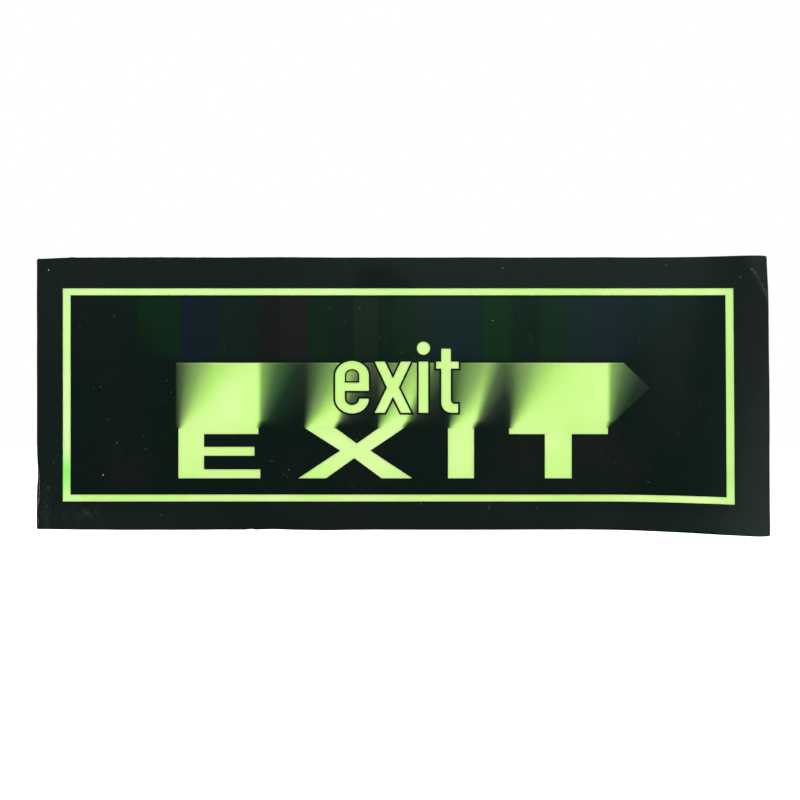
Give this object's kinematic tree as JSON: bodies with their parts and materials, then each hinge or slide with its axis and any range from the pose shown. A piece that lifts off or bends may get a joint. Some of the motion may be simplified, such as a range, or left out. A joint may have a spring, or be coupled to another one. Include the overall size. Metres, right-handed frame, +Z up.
{
  "type": "self-adhesive exit sign",
  "caption": "Thin photoluminescent film exit sign with a bright border and lettering in black ink, a clear laminate, and a peel-off release liner behind.",
  "frame": {"origin": "centre of the adhesive's back face, on the plane that bonds to a wall or door", "axes": "+X along the width to the reader's right, +Y out of the back towards the wall, +Z up"},
  "size_m": [0.3494, 0.0207, 0.1302],
  "materials": {
    "release_paper": "silicone-coated kraft paper, satin",
    "adhesive": "clear acrylic adhesive, tacky satin",
    "white_film": "white PVC carrier film",
    "luminous_film": "photoluminescent PVC, pale yellow-green by day",
    "graded_tint": "dark tint in soft fades",
    "black_ink": "black screen ink",
    "clear_laminate": "clear gloss laminate"
  },
  "bodies": {
    "sign": {"adhesive_layer": "adhesive", "white_carrier_film": "white_film", "luminous_film": "luminous_film", "tint_band": "graded_tint", "tint_small_e_eye": "graded_tint", "ink_margin": "black_ink", "ink_panel": "black_ink", "ink_capital_x_notch": "black_ink", "keyline_small_e": "black_ink", "keyline_small_e_eye": "black_ink", "keyline_small_x": "black_ink", "keyline_small_i": "black_ink", "keyline_small_t": "black_ink", "clear_laminate": "clear_laminate"},
    "liner_main": {"release_liner_main": "release_paper"},
    "liner_strip": {"release_liner_strip": "release_paper"}
  },
  "joints": [
    {"name": "peel_main", "type": "hinge", "parent": "sign", "child": "liner_main", "pos_m": [-0.175, 0.00009, 0], "axis": [0, 0, 1], "range_deg": [0, 135]},
    {"name": "peel_strip", "type": "hinge", "parent": "sign", "child": "liner_strip", "pos_m": [0.17306, -0.01338, 0.00052], "axis": [-0.0201, -0.1007, -0.9947], "range_deg": [0, 135]}
  ]
}
